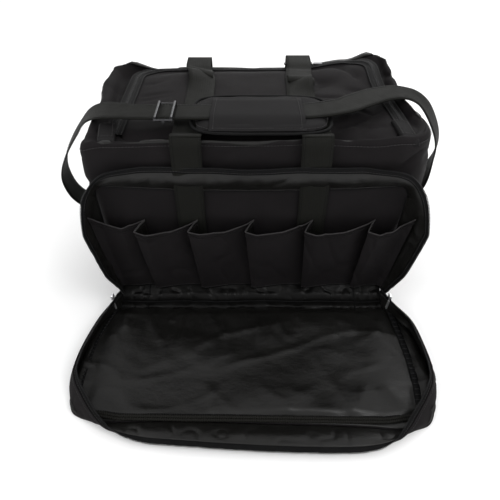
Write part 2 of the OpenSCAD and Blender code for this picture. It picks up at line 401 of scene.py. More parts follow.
def ribbon(path, across, width=WEB_W, thickness=WEB_T, material=WEBBING, crown=0.0):
    """Webbing along a path; across is its width's direction at each point."""
    t = tangents(path)
    a = square(across, t)
    s = np.linspace(-1, 1, 7)
    p = path[:, None] + s[None, :, None] * a[:, None] * width / 2
    p = p + np.cross(t, a)[:, None] * (crown * (1 - s ** 2))[None, :, None]
    return cloth(p, [material], thickness)


def tube(path, radius, material, n=6, cuts=None):
    t = tangents(path)
    a = unit(np.cross(t, np.where(np.abs(t[:, 2:3]) > 0.9, (1.0, 0.0, 0.0), (0.0, 0.0, 1.0))))
    b = np.cross(a, t)
    ang = np.linspace(0, 2 * math.pi, n, endpoint=False)
    r = radius if cuts is None else radius * cuts[:, None, None]
    p = path[:, None] + r * (np.cos(ang)[None, :, None] * a[:, None] + np.sin(ang)[None, :, None] * b[:, None])
    return grid(p, [material], wrap=True, cap_first=True, cap_last=True)


def beads(centers, along, across, size, material):
    """Small rounded blocks, one at each centre: stitches or zip teeth. size is (along, across, high)."""
    along = unit(np.broadcast_to(along, centers.shape))
    across = square(across, along)
    up = np.cross(along, across)
    ring = np.array([(-1, 0), (-0.6, 0.9), (0.6, 0.9), (1, 0), (0.6, -0.9), (-0.6, -0.9)])
    verts = [centers + along * at * size[0] + across * x * size[1] / 2 + up * z * size[2] / 2
             for at, scale in ((-0.5, 0.35), (-0.34, 1), (0.34, 1), (0.5, 0.35)) for x, z in ring * scale]
    verts = np.stack(verts, axis=1)
    n, m = verts.shape[:2]
    one = grid_faces(4, 6, True) + [list(range(5, -1, -1)), list(range(m - 6, m))]
    return mesh_part(verts.reshape(-1, 3), [[i + k * m for i in f] for k in range(n) for f in one], [material])


def stitches(path, across, pitch=3.6, length=2.4, width=0.6, material=THREAD):
    """A row of stitches along a path."""
    n = max(2, int(path_length(path) / pitch))
    p = resample(path, n)
    if np.ndim(across) == 2:
        across = resample(across, n)
    return beads(p, tangents(p), across, (length, width, width), material)


def teeth(path, across, size=(1.25, 2.0, 2.0), shifted=False):
    """One side of a coil zip along a path, a tooth every 2 mm; shifted moves them by half of that."""
    n = 2 * max(3, int(path_length(path) / 2.0)) + 1
    p = resample(path, n)[shifted::2]
    if np.ndim(across) == 2:
        across = resample(across, n)[shifted::2]
    return beads(p, tangents(p), across, size, COIL)


def zip_half(root, edge, out, face, gap, width, teeth_at):
    """A zip tape from its root to width past an edge, and its teeth; gap is how far it stands off the face."""
    tape = np.stack([mix(root - out * 1.5, edge + out * width, k) for k in steps(4)]) + face * gap
    return [cloth(tape, [TAPE], TAPE_T), teeth(edge + out * teeth_at + face * gap, face)]


def border(p, r0, r1, c0, c1):
    """The points of a grid round the rectangle between two of its rows and two of its columns."""
    cells = ([(r0, k) for k in range(c0, c1 + 1)] + [(k, c1) for k in range(r0 + 1, r1 + 1)]
             + [(r1, k) for k in range(c1 - 1, c0 - 1, -1)] + [(k, c0) for k in range(r1 - 1, r0 - 1, -1)])
    return np.array([p[cell] for cell in cells])


def piece(name, parts, body, replaces=()):
    """The parts made into one named piece; it is attached to a body unless body is None."""
    ob = parts[0]
    if len(parts) > 1:
        with bpy.context.temp_override(active_object=ob, object=ob, selected_objects=parts,
                                       selected_editable_objects=parts):
            bpy.ops.object.join()
    ob.name = name
    if body:
        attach(ob, body)
    if replaces:
        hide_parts(*replaces)
    return ob


# ---- Camera, light and floor ----

CAMERA_AT = (-2, FRONT - 476, 572)
CAMERA_DOWN = 44.4       # degrees below level
LENS = 32.4              # on a 36 mm sensor
FLOOR_HALF, FLOOR_Z = 4000, -0.4
LAMPS = (("key", (1.2, -1.0, 1.9), (0, 0, 0.15), 0.9, 15),      # name, place and aim in m, size in m, watts
         ("back", (0.5, 1.5, 1.4), (0, -0.1, 0.1), 1.4, 12),
         ("left", (-1.5, -1.1, 1.5), (0, 0, 0.15), 0.9, 9))


def make_stage():
    camera = linked("camera", bpy.data.cameras.new("camera"))
    camera.data.sensor_width = 36
    camera.data.lens = LENS
    camera.location = np.array(CAMERA_AT) * MM
    camera.rotation_euler = (math.radians(90 - CAMERA_DOWN), 0, 0)
    bpy.context.scene.camera = camera

    world = bpy.data.worlds.new("studio")
    world.use_nodes = True
    sky = world.node_tree.nodes["Background"].inputs
    sky["Color"].default_value = (1.0, 1.0, 1.0, 1)
    sky["Strength"].default_value = 0.95
    bpy.context.scene.world = world
    bpy.context.scene.view_settings.view_transform = "Standard"

    for name, place, aim, size, watts in LAMPS:
        lamp = linked(name, bpy.data.lights.new(name, "AREA"))
        lamp.data.size = size
        lamp.data.energy = watts
        lamp.location = place
        lamp.rotation_euler = (Vector(aim) - Vector(place)).to_track_quat("-Z", "Y").to_euler()

    shader = Shader("floor", (0.93, 0.93, 0.93), 0.9, specular=0.1)
    shader.vary_color(shader.noise(shader.place(), 3.0), 1.0, 1.03)
    s = np.linspace(-FLOOR_HALF, FLOOR_HALF, 3)
    floor = grid(vec(*np.meshgrid(s, s), FLOOR_Z), [shader.material])
    floor.name = "floor"


# ---- Bag body ----

def outline(half_x, front, rear, radii):
    """Points round a rectangle, counter-clockwise from its front-left; radii run front-left, front-right,
    rear-right, rear-left."""
    corners = ((-half_x, front, 180), (half_x, front, 270), (half_x, rear, 0), (-half_x, rear, 90))
    ends = []
    for (x, y, start), r in zip(corners, radii):
        cx = x - math.copysign(r, x)
        cy = y + (r if y == front else -r)
        a = np.radians(start + np.linspace(0, 90, 10))
        ends.append(vec(cx + r * np.cos(a), cy + r * np.sin(a)))
    out = []
    for i, n in enumerate((60, 36, 60, 36)):
        arc, nxt = ends[i], ends[(i + 1) % 4]
        out += [arc, mix(arc[-1], nxt[0], steps(n + 1)[1:-1, None])]
    return np.vstack(out)


LID_HALF = LID_HI[0] - 4
LID_FRONT = LID_LO[1]
LID_REAR = LID_HI[1] - 3
LID_R = 36
COIL_AT = 5.5        # how far the zip's middle is outside the lid's edge
RIDGE_Z = 288.8      # top of the walls
STITCH_Z = 281       # height of the stitches below it
BODY_T, LID_T = 2.2, 2.6
ZIP_END = -100.0
LID_Z = LID_HI[2] + 1.2
TAPE_T = 0.7         # thickness of the zip tapes
BORDER_FRONT = FRONT + 12


def widen(xy):
    """The lid reaches further to the right, most of all towards the front, and less far to the left."""
    out = xy.copy()
    right = ease(xy[..., 0], 110, 172)
    left = ease(-xy[..., 0], 100, 168)
    out[..., 0] += right * (4 + 12 * ease(-xy[..., 1], -60, 90)) + left * 5
    return out


def lid_ring(grow, front):
    return widen(outline(LID_HALF + grow, front, LID_REAR + grow, (30, 30, LID_R + grow, LID_R + grow)))


def body_height(xy):
    """How far the top stands up or sinks: the rear right corner stands up, the rear edge between the corners sags."""
    x, y = xy[..., 0], xy[..., 1]
    right = ease(x, 60, 150)
    corners = ease(np.abs(x), 150, 196)
    rear = -(6 * ease(y, 60, 105) + 12 * ease(y, 106, 127)) * (1 - 0.8 * corners)
    lifted = 12 * right * ease(y, 0, 100) + 3 * ease(x, 150, 185)
    edge = -3 * ease(x, 178, 208)
    left = -2 * ease(-x, 100, 170) - 5 * ease(-x, 188, 212)
    wave = 2.2 * rumple(vec(x, y, 0), 75, 17) * ease(-y, 90, 122)
    return rear + lifted + edge + left + wave


def bulge(p):
    """The ends of the bag stand out; the right one most, high up towards the front."""
    x, y, z = p[..., 0], p[..., 1], p[..., 2]
    side = ease(np.abs(x), 150, 203)
    up = ease(z, 110, 215) * (1 - 0.45 * ease(z, 245, 288))
    puff = 15 * hill(y, -72, 36) * ease(z, 180, 240)
    right = (4 + 9 * ease(-y, 60, 110)) * up + puff
    left = (4 + 10 * ease(y, -10, 55)) * ease(z, 130, 240)
    return side * np.where(x > 0, right, -left)


def body_rings():
    """The outer skin from the middle of the base, up the walls and in over the top to the lid's zip."""
    rings = []
    for z, inset, r in ((1.0, 120, 12), (0.5, 50, 16), (0.4, 9, 20), (2.2, 2.4, 22), (7, 0.6, 23)):
        rings.append((outline(HALF_W - inset, FRONT + inset * 0.6, REAR - inset * 0.6, (r,) * 4), z))
    for z in np.linspace(14, 266, 42):
        swell = math.sin(math.pi * z / 285)
        k = float(ease(z, 170, 262))
        radii = (mix(20, 12, k), mix(20, 34, k), mix(28, 22, k), mix(28, 11, k))
        rings.append((outline(HALF_W - 0.5 + 5 * swell, FRONT + 0.2, REAR + 4 * swell, radii), z))
    for z, inset in ((269, 0.1), (272.5, 0.1), (276, 0.2), (279, 0.5), (281.5, 0.9), (283.6, 1.5), (285.6, 2.5),
                     (287.2, 4.0), (288.3, 5.8), (RIDGE_Z, 8.0)):
        rings.append((outline(HALF_W - inset, FRONT + 0.2 + inset * 0.5, REAR - inset, (12, 34, 18, 9)), z))
    outer = rings[-1][0]
    n_wall = len(rings)
    inner = lid_ring(COIL_AT + 7, BORDER_FRONT)
    n_top = 12
    for k in range(1, n_top + 1):
        t = k / n_top
        ring = mix(outer, inner, t)
        side = ease(np.abs(ring[:, 0]), 150, 185)
        depth = np.where(ring[:, 0] < 0, 12.0, 6.0)
        valley = -hill(t, 0.52, 0.24) * side * depth * ease(ring[:, 1], -100, -60)
        dip = -5.0 * t * ease(-ring[:, 1], 100, 118)
        rings.append((ring, mix(RIDGE_Z, LID_Z, ease(t, 0, 0.6)) + valley + dip))
    rings.append((lid_ring(COIL_AT - 8, BORDER_FRONT + 12), LID_Z - 9))
    p = np.stack([vec(*xy.T, z) for xy, z in rings])
    share = np.concatenate([np.ones(n_wall), np.linspace(1, 0, n_top), [0]])
    p[..., 0] += bulge(p) * share[:, None]
    p[..., 2] += body_height(p[..., :2]) * ease(p[..., 2], 120, 285)
    return p


def grid_normals(p):
    du = np.roll(p, -1, axis=1) - np.roll(p, 1, axis=1)
    dv = np.gradient(p, axis=0)
    return unit(np.cross(du, dv))


def rumple_body(p):
    x, y, z = p[..., 0], p[..., 1], p[..., 2]
    in_tray = ease(-y, 118, 126) * (1 - ease(z, 212, 232)) * (1 - ease(np.abs(x), 203, 212))
    up = ease(z, 130, 270)
    near_zip = np.zeros(p.shape[:2])
    near_zip[-5:] = np.array([0.35, 0.7, 0.92, 1.0, 1.0])[:, None]
    amount = (1 - 0.86 * in_tray) * ease(z, 2, 30) * (1 - near_zip)
    soft = rumple(p, 105, 3) * 3.0 + rumple(p, 42, 11) * 1.2
    ends = ease(np.abs(x), 165, 205)
    corner = ease(x, 120, 200) * ease(y, 20, 110) * up
    left_top = ease(-x, 165, 200) * ease(z, 240, 280)
    folds = (creases(p * (1, 0.7, 1.5), 52, 21) * (1.5 + 2.6 * ends * (1 - left_top) + 1.2 * corner)
             + creases(p * (1.2, 0.6, 1.2), 30, 33) * (0.8 + 1.0 * left_top + 0.6 * corner)) * (0.35 + 0.65 * up)
    front_band = ease(-y, 112, 122) * ease(z, 222, 236) * (1 - ease(z, 268, 276))
    diagonal = creases(vec(x * 0.9 - z * 1.5, z * 0.5 + x * 0.1, 0), 40, 55)
    folds = mix(folds, diagonal * (1.4 + 5.0 * ease(np.abs(x), 90, 170)), front_band)
    out = p + grid_normals(p) * ((soft - folds) * amount)[..., None]
    limit_front = FRONT - 1.2 - 3.5 * ease(z, 222, 250)
    out[..., 1] = np.maximum(out[..., 1], limit_front)
    out[..., 2] = np.maximum(out[..., 2], 0.15)
    return out


def make_body():
    p = rumple_body(body_rings())
    skin = cloth(p, [CANVAS, LINING], BODY_T, -1.0, wrap=True, cap_first=True)
    panels = ("base_panel", "front_panel", "rear_panel", "end_panel_left", "end_panel_right", "top_border")
    return piece("bag_body", [skin], "shell", panels), p


# ---- Lid ----

def lid_surface(xy, inside):
    """Height of the lid's top at each point; inside runs from 0 at its edge to 1 at its middle."""
    x, y = xy[..., 0], xy[..., 1]
    at = vec(x, y, 0)
    crown = 6.5 * (1 - (1 - ease(inside, 0, 0.5)) ** 2)
    soft = rumple(at, 120, 71) * 2.2 + rumple(at, 48, 77) * 1.2
    pulled = creases(at * (0.35, 1, 1), 26, 81) * 3.2 * ease(-x, 95, 165)
    faceted = creases(vec(x * 0.9 + y * 0.6, y * 0.9 - x * 0.4, 0), 74, 83) * 6.0
    faceted = (faceted + creases(at * (0.7, 1.2, 1), 38, 89) * 3.0) * ease(x, 50, 120)
    groove = 3.0 * hill(y, -78, 24) * ease(np.abs(x), 70, 110)
    soft = (soft - pulled - faceted) * ease(inside, 0, 0.12)
    dip = 6.5 * ease(-y, 82, 112) * (1 - 0.8 * ease(x, 100, 160))
    height = body_height(xy)
    return (LID_Z + mix(height, np.minimum(height, 0) * 0.4 + np.maximum(height, 0) * 0.75,
                        ease(inside, 0, 0.6)) + crown + soft - groove * ease(inside, 0.02, 0.2) - dip)


def make_lid():
    edge = lid_ring(-1.0, LID_FRONT)
    middle = (LID_FRONT + LID_REAR) / 2
    rings = []
    for t in np.concatenate([[0, 0.012, 0.03, 0.055], np.linspace(0.09, 0.985, 30)]):
        ring = edge.copy()
        ring[:, 0] *= 1 - t
        ring[:, 1] = middle + (ring[:, 1] - middle) * (1 - t)
        rings.append(np.column_stack([ring, lid_surface(ring, t)]))
    lid = cloth(np.stack(rings), [CANVAS, LINING], LID_T, -1.0, wrap=True, cap_last=True)
    piece("lid", [lid], None, ("lid_panel", "lid_lining"))
    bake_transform(lid)
    return lid


def zip_path(offset):
    """The lid's zip: up the left side, across the rear and down the right side."""
    r, half, rear = LID_R + offset, LID_HALF + offset, LID_REAR + offset
    a = np.radians(np.linspace(0, 90, 16))
    left = vec(-half + r - r * np.cos(a), rear - r + r * np.sin(a))
    right = (left * (-1, 1))[::-1]
    xy = np.vstack([np.linspace((-half, ZIP_END), left[0], 30)[:-1], left, np.linspace(left[-1], right[0], 60)[1:-1],
                    right, np.linspace(right[-1], (half, ZIP_END), 30)[1:]])
    return widen(resample(xy, 260))


def zip_height(xy):
    return LID_Z + body_height(xy)


def lift(xy, up):
    return np.column_stack([xy, zip_height(xy) + up])


def make_lid_zip():
    for name, body, node, inner, outer, coil, seams in (
            ("lid_zip_half", "lid", "lid_zip_edge", -4.0, COIL_AT - 0.6, COIL_AT - 1.0, (-2.8, COIL_AT - 3.4)),
            ("body_zip_half", "shell", "lid_zip_tape", COIL_AT + 0.6, COIL_AT + 10.5, COIL_AT + 1.0,
             (COIL_AT + 3.4, COIL_AT + 9.3))):
        in_lid = body == "lid"
        p = np.stack([lift(zip_path(o), 1.5 if abs(o - COIL_AT) < 4 else 1.0) for o in np.linspace(inner, outer, 6)])
        p[..., 2] += rumple(p, 30, 41) * 0.35
        parts = [cloth(p if in_lid else p[::-1], [TAPE], TAPE_T),
                 teeth(lift(zip_path(coil), 1.9), (0, 0, 1), (1.25, 1.6, 2.4), in_lid)]
        parts += [stitches(lift(zip_path(o), 1.6), (0, 0, 1), 3.4, 2.3) for o in seams]
        piece(name, parts, body, (node,))


def make_zip_tabs():
    """A folded tab over each end of the lid's zip."""
    parts = []
    for x0, half, fold in ((-186, 11.0, 4.5), (189, 10.5, 2.2)):
        uu, vv = np.meshgrid(np.linspace(-1, 1, 17), np.linspace(-1, 1, 45))
        x = x0 + uu * half + (1 - vv) * fold
        y = FRONT + 2.5 + (1 + vv) * 24
        edge = 1 - np.maximum(np.abs(uu) ** 10, np.abs(vv) ** 22)
        near_end = 5 * (1 - ease(vv, -1.12, -0.7)) ** 1.5
        z = zip_height(vec(x, y)) + 0.6 + 4.2 * edge ** 0.5 - near_end + rumple(vec(x, y, 0), 18, 90) * 0.6
        p = vec(x, y, z)
        parts += [cloth(p, [CANVAS_PAD], 1.8),
                  stitches(border(p, 12, 41, 2, 14) + (0, 0, 1.3), (0, 0, 1), width=0.7)]
    piece("zip_end_tabs_soft", parts, "shell", ("zip_end_tabs",))


# ---- Front organiser ----

TRAY_X = HALF_W - 5
FRONT_SKIN = FRONT - 1.6


def rim_roots(r):
    """Where the organiser's rim is sewn to the front: up the left side, across the top, down the right side."""
    a = np.radians(np.linspace(0, 90, 18))
    left = vec(-TRAY_X + r - r * np.cos(a), SEAM_Z - r + r * np.sin(a))
    foot = np.array([[-TRAY_X + 5, HINGE_Z - 1], [-TRAY_X + 3, 60], [-TRAY_X + 1, 110], [-TRAY_X, 150]])
    half = np.vstack([foot, left])
    xz = np.vstack([half, np.linspace(half[-1], half[-1] * (-1, 1), 50)[1:-1], (half * (-1, 1))[::-1]])
    p = spline(xz, 220)
    return vec(p[:, 0], FRONT_SKIN, p[:, 1])


def rim_edges():
    """The rim's free edge, which stands forward at the sides and is folded up along the top."""
    roots = rim_roots(37.0)
    x, z = roots[:, 0], roots[:, 2]
    folded = ease(z, SEAM_Z - 50, SEAM_Z - 4)
    heights = (20, 50, 85, 120, 170, 190, 215)
    reach = np.where(x < 0, np.interp(z, heights, (199, 204, 210, 215, 221, 223, 222)),
                     np.interp(z, heights, (205, 212, 219, 225, 231, 231, 228)))
    depth = mix(18.0, 34.0, ease(z, HINGE_Z, 100))
    side = vec(np.sign(x) * reach, FRONT - depth, z + 1.0)
    k = np.clip(np.abs(x) / TRAY_X, 0, 1)
    top = vec(x * np.where(x < 0, 1.03, 1.06), FRONT - 7.0 - 7 * ease(np.abs(x), 130, 200), z + 32 - 3 * k ** 6)
    p = mix(side, top, folded[:, None])
    at = vec(x, 0, z)
    p[:, 1] += rumple(at, 55, 101) * mix(1.2, 2.6, folded)
    p[:, 2] += rumple(at, 70, 105) * 2.2 * folded
    return p


def make_rim():
    roots = rim_roots(15.0)
    roots[:, 2] += 8 * np.abs(roots[:, 0] / TRAY_X) ** 2.2 * ease(roots[:, 2], SEAM_Z - 30, SEAM_Z - 2)
    edges = rim_edges()
    t = steps(15)[:, None, None]
    p = mix(roots[None], edges[None], t)
    x, z = roots[None, :, 0], roots[None, :, 2]
    folded = ease(z, SEAM_Z - 44, SEAM_Z - 6)
    soft = rumple(p * (0.8, 1, 1), 34, 113) * 1.6
    bow = np.sin(math.pi * t[..., 0])
    p[..., 0] += np.sign(x) * bow * 2.5 * (1 - folded)
    p[..., 1] -= bow * 3.5 * folded
    gathers = creases(vec(x, z, 30 * t[..., 0]) * (1, 1, 0.5), 17, 111)
    p[..., 1] += (soft * folded + gathers * 2.2 * folded * (1 - t[..., 0])) * bow ** 0.5
    p[..., 0] += np.sign(x) * (soft - gathers * 1.5) * (1 - folded) * bow

    out = unit(edges - p[-3])
    side = unit(np.cross(tangents(edges), out))
    seam = spline(roots + (0, -0.6, 0) + vec(0, 0, rumple(roots, 20, 121) * 1.2), 320)
    across = seam[np.abs(seam[:, 0]) < TRAY_X - 12]
    across = across[across[:, 2] > SEAM_Z - 20]
    parts = [cloth(p, [LINING, CANVAS], 1.6, -1.0), *zip_half(p[-1], edges, out, side, 0.9, 5.0, 5.8),
             stitches(edges + out * 0.8 + side * 1.6, side), tube(seam, 0.8, TAPE, 8),
             stitches(across + (0, -1.2, 2.2), (0, 1, 0), 3.8, 2.7, 0.9)]
    rim = piece("organiser_rim", parts, None, ("rim_left", "rim_right", "rim_zip_tape", "rim_top",
                                                         "rim_top_tape"))
    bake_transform(rim)


DIV_LOW = (-206, -147, -75, 3, 81, 157, 206)
DIV_TOP = (-216, -148, -75, 3, 84, 170, 216)


def pocket_row(h):
    """The pleated strip seen from above at a share h of its height. The third number is its lip's height."""
    x = mix(np.array(DIV_LOW, float), np.array(DIV_TOP, float), h)
    swell = 2.5 * math.sin(math.pi * min(h, 1) * 0.9)
    end = 8 + 16 * h
    pts = [(x[0], -end, 188), (x[0] + 9, -4 - 11 * h, 173), (mix(x[0], x[1], 0.55), -4 - 9 * h - swell, 161),
           (x[1] - 10, -2 - 3 * h, 164)]
    for i in range(1, 6):
        w = x[i + 1] - x[i]
        g = 0.3 + 0.7 * h
        pts += [(x[i] + 1, -0.9, 167), (x[i] + 1 - 6 * g, -1.4 - 8 * g, 166), (x[i] + 1 - 13 * g, -2.2 - 20 * g, 163),
                (x[i] + 3 + 1 * h, -3.2 - 22 * g - swell, 160), (x[i] + 0.5 * w, -3.2 - 15 * h - swell, 160)]
        if i < 5:
            pts.append((x[i + 1] - 9, -2 - 4 * h, 163))
    pts += [(x[6] - 9, -4 - 13 * h, 172), (x[6], -end, 186)]
    pts = np.array(pts)
    seg = [mix(a, b, steps(16, endpoint=False)[:, None]) for a, b in zip(pts[:-1], pts[1:])]
    row = np.vstack(seg + [pts[-1:]])
    smooth(row, 2)
    return row


def make_pockets():
    hs = steps(36)
    plan = np.stack([pocket_row(h) for h in hs])
    x = plan[..., 0]
    z = POCKET_Z + 1 + hs[:, None] * (plan[-1, :, 2][None] - POCKET_Z - 1)
    p = vec(x, plan[..., 1] + FRONT - 1.4, z)
    soft = rumple(p, 60, 131) * 1.5 + rumple(p, 26, 137) * 0.7
    folds = creases(vec(x * 0.9 + z * 0.35, z * 0.35 - x * 0.1, 0), 26, 141) * 1.6
    p[..., 1] += (soft + folds) * ease(hs, 0, 0.2)[:, None] * ease(-plan[..., 1], 1.5, 6)
    p[..., 1] = np.minimum(p[..., 1], FRONT - 2.6)
    # The hem tube along the lip is coloured lighter, as a painted highlight.
    parts = [cloth(p, [CANVAS, LINING], 1.3, -1.0), tube(p[-1] + (0, -0.4, 0.2), 0.9, HEM_PAINTED_HIGHLIGHT),
             tube(p[-3] + (0, -0.5, 0), 0.8, CANVAS),
             stitches(p[-2] + (0, -1.3, -1.0), (0, 1, 0), material=DARK_THREAD),
             stitches(p[1] + (0, -0.9, 0), (0, 1, 0), 3.8, 2.6)]
    piece("pockets", parts, "shell", [f"pocket_{k}" for k in range(1, 7)])


# ---- Flap ----

# Points of the flap's zip line (x, y from the bag's face, z), each with one of the floor's outer line (x, y)
FLAP_LINE = [
    (-203, -17, 30, -209, -27), (-212, -38, 31, -220, -44), (-226, -70, 31, -233, -76),
    (-237, -115, 31, -241, -118), (-240, -150, 31, -244, -152), (-235, -170, 30, -244, -176),
    (-224, -187, 27, -242, -192), (-210, -205, 22, -234, -204), (-195, -220, 17, -214, -212),
    (-178, -229, 13, -192, -215), (-145, -236, 10, -150, -214), (-95, -241, 10, -97, -213), (0, -247, 10, 0, -216),
    (95, -250, 10, 97, -219), (150, -248, 10, 155, -222), (184, -240, 13, 198, -226), (200, -228, 17, 216, -224),
    (214, -211, 22, 232, -217), (230, -190, 27, 242, -200), (240, -172, 30, 246, -180), (244, -150, 31, 248, -152),
    (243, -118, 31, 246, -120), (236, -74, 31, 238, -80), (214, -38, 31, 222, -44), (203, -17, 30, 209, -27)]
FLAP_LOW_Z = 1.4     # height of the floor's outer line


def flap_lines():
    """The zip line and the floor's outer line, point for point."""
    both = np.array([(*row, FLAP_LOW_Z) for row in FLAP_LINE], float)
    both[:, (1, 4)] += FRONT
    out = spline(both, 340)
    return out[:, :3], out[:, 3:]


def make_flap_wall():
    top, low = flap_lines()
    near = ease(-top[:, 1] + FRONT, 150, 225)
    out = unit((low - (0.0, FRONT - 120.0, 0.0)) * (1, 1, 0) / (240, 100, 1))
    rows = []
    for k in steps(13):
        bow = math.sin(math.pi * k)
        q = mix(low, top, k) + out * (bow * mix(2.0, 6.5, 1 - near) * ease(-low[:, 1] + FRONT, 30, 70))[:, None]
        q[:, 2] += bow * 3.5 * ease(near, 0.9, 1.0)
        rows.append(q)
    p = np.stack(rows)
    flat_near = ease(near, 0.93, 1.0)
    soft = rumple(p, 42, 151) * 1.5
    gathers = creases(p * (1, 1, 0.2), 19, 155) * 1.7
    mid = np.sin(math.pi * steps(len(p))[:, None])
    p[..., 2] += (soft * 1.2 - gathers) * mid * flat_near
    p += out[None] * ((soft - gathers) * mid * (1 - flat_near))[..., None]
    p[..., 2] = np.maximum(p[..., 2], 0.9)

    edge = p[-1]
    up = unit(edge - p[-3])
    face = unit(np.cross(tangents(edge), up))
    parts = [cloth(p, [CANVAS, LINING], 1.4, -1.0), *zip_half(edge, edge, up, face, -0.5, 6.5, 7.2),
             tube(edge + face * 0.6, 1.3, CANVAS),
             stitches(edge - up * 3.0 + face * 0.9, face), stitches(edge + up * 2.8 + face * 0.1, face)]
    wall = piece("flap_walls", parts, None, ("flap_rim_wall", "flap_zip_tape", "flap_lip", "flap_lip_tape"))
    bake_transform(wall)


FLOOR_NEAR = 219.0   # how far the floor's near seam is in front of the bag
FLOOR_REAR = 25.0    # and its rear edge


def flap_floor(z, inset):
    """A sheet over the flap's floor, out to its seam: a patch between the four sides of the floor's outline."""
    rows, cols = 70, 96
    low = flap_lines()[1]
    low = low[low[:, 1] < FRONT - FLOOR_REAR]
    corner = [int(np.argmax(s * low[:, 0] * 0.9 - low[:, 1])) for s in (-1, 1)]
    v = steps(rows)[:, None, None]
    u = steps(cols)[None, :, None]
    left = resample(low[:corner[0] + 1], rows)[:, None]
    near = resample(low[corner[0]:corner[1] + 1], cols)[None]
    right = resample(low[corner[1]:][::-1], rows)[:, None]
    rear = mix(left[:1], right[:1], u)
    p = (1 - v) * rear + v * near + (1 - u) * left + u * right - (1 - v) * rear - v * mix(left[-1:], right[-1:], u)
    p[..., 0] *= 1 - inset / 230
    p[..., 1] = FRONT + (p[..., 1] - FRONT) * (1 - inset / 216)
    p[..., 2] = z
    return p


def make_flap_floor():
    p = flap_floor(3.6, 1.0)
    x, y = p[..., 0], p[..., 1]
    flat = vec(x * 0.8 + y * 0.5, y * 1.1 - x * 0.25, 0)
    broad = rumple(flat, 110, 161) * 6.5 + rumple(flat, 58, 165) * 2.2
    ridges = creases(flat * (0.5, 1.2, 1), 60, 167) * 1.6 + creases(flat * (1.3, 0.5, 1), 52, 169) * 1.4
    s = -(y - FRONT)
    rear = ease(s, 28, 40) * (1 - ease(s, 60, 110))
    gathers = creases(vec(x, y * 0.22, 0), 19, 171) * 3.0 * rear
    near = ease(s, 150, 190) * (1 - ease(s, 200, 212))
    gathers += creases(vec(x, y * 0.3, 0), 34, 173) * 2.6 * near
    edge = ease(s, 28, 44) * (1 - ease(s, 200, 212))
    p[..., 2] += (broad + ridges + 3.0) * edge + gathers
    p[..., 2] = 3.4 + np.log1p(np.exp((p[..., 2] - 3.4) / 1.4)) * 1.4
    p[..., 2] += 5.0 * ease(np.abs(x), 222, 240)
    lining = piece("flap_lining_sheet", [cloth(p, [LINING], 0.5, 1.0)], "flap", ("flap_lining",))

    base = flap_floor(2.2, 0.0)
    base[..., 2] = np.clip(2.2 + rumple(base, 50, 175) * 0.4, 1.6, 3.2)
    piece("flap_base", [cloth(base, [CANVAS], 1.2, -1.0)], "flap", ("flap_panel",))


def make_flap_bindings():
    """The ribbed binding over the floor's near seam and a flat one down each side."""
    x = np.linspace(-205, 214, 400)
    near = vec(x, FRONT - (FLOOR_NEAR - 9) - x * 0.013 + 5 * ease(np.abs(x), 170, 214),
               6.4 + rumple(vec(x, 0, 0), 40, 221) * 0.9)
    ribs = 1 + 0.16 * np.sin(np.linspace(0, path_length(near) / 3.0 * 2 * math.pi, 1800))
    parts = [tube(resample(near + (0, dy, dz), 1800), r, m, 8, ribs)
             for dy, dz, r, m in ((0, 0, 2.3, BINDING), (-3.8, -0.6, 2.3, BINDING), (3.2, -1.6, 1.4, TAPE))]
    for s, xs, width, rung, n in ((1, (217, 222, 226, 225, 219), 9.0, 8.0, 22),
                                  (-1, (213, 226, 232, 233, 224), 5.0, 4.5, 30)):
        path = spline([(s * v, FRONT - d, 8.0) for v, d in zip(xs, (36, 80, 125, 170, 203))], 300)
        path[:, 2] += rumple(path, 26, 225) * 0.7
        path[:, 0] += rumple(path, 34, 227) * 1.0
        parts += [ribbon(path, (1, 0, 0.1), width, 0.9, TAPE, crown=1.0),
                  beads(resample(path, n) + (0, 0, 1.6), (1, 0, 0), (0, 1, 0), (rung, 1.6, 1.0), COIL)]
    piece("flap_bindings", parts, "flap", ("flap_binding",))


def make_gusset():
    """The strip that joins the bag's front to the flap: forward from the pockets and down to the floor."""
    profile = spline([(0.8, 34), (-4, 32), (-12, 28.5), (-18, 25.5), (-21.5, 20), (-23.5, 12), (-26, 6.5),
                      (-32, 4.4)], 34)
    x = np.linspace(-204, 204, 170)
    s = steps(len(profile))[:, None]
    p = vec(x * mix(1.0, 1.028, ease(s, 0.35, 0.8)), FRONT + profile[:, :1], profile[:, 1:])
    bend = np.sin(math.pi * s) ** 0.5
    gathers = creases(vec(p[..., 0], s * 25, 0), 15, 181)
    p[..., 2] += (rumple(p, 34, 183) * 2.0 - gathers * 2.4) * bend
    p[..., 1] -= (rumple(p, 40, 187) * 2.0 - gathers * 1.2) * bend
    p[..., 2] = np.maximum(p[..., 2], 3.8)
    # The strip uses the darkened copy of the lining: painted shade in the recess.
    parts = [cloth(p, [LINING_PAINTED_SHADE], 0.9, 1.0), *(tube(spline(p[::3, k] + (0, -0.3, 1.0), 40), 0.9, TAPE)
                                                   for k in (18, -19)),
             tube(spline(p[22, ::4] + (0, -1.0, 0.6), 300), 1.1, TAPE)]
    gusset = piece("hinge_gusset", parts, None, ("bottom_gusset",))
    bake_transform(gusset)


# ---- Webbing ----

RAY_FROM = 400       # beyond the bag, above it and on both sides


class Ground:
    """The top of some meshes, for laying webbing on."""

    def __init__(self, *obs):
        verts, faces = [], []
        for ob in obs:
            base = len(verts)
            verts += [v.co / MM for v in ob.data.vertices]
            faces += [[base + i for i in f.vertices] for f in ob.data.polygons]
        self.tree = BVHTree.FromPolygons(verts, faces)

    def z(self, x, y, default=-1e3):
        hit = self.tree.ray_cast(Vector((x, y, RAY_FROM)), Vector((0, 0, -1)))[0]
        return hit.z if hit else default

    def side(self, s, y, z):
        hit = self.tree.ray_cast(Vector((s * RAY_FROM, y, z)), Vector((-s, 0, 0)))[0]
        return hit.x if hit else s * HALF_W


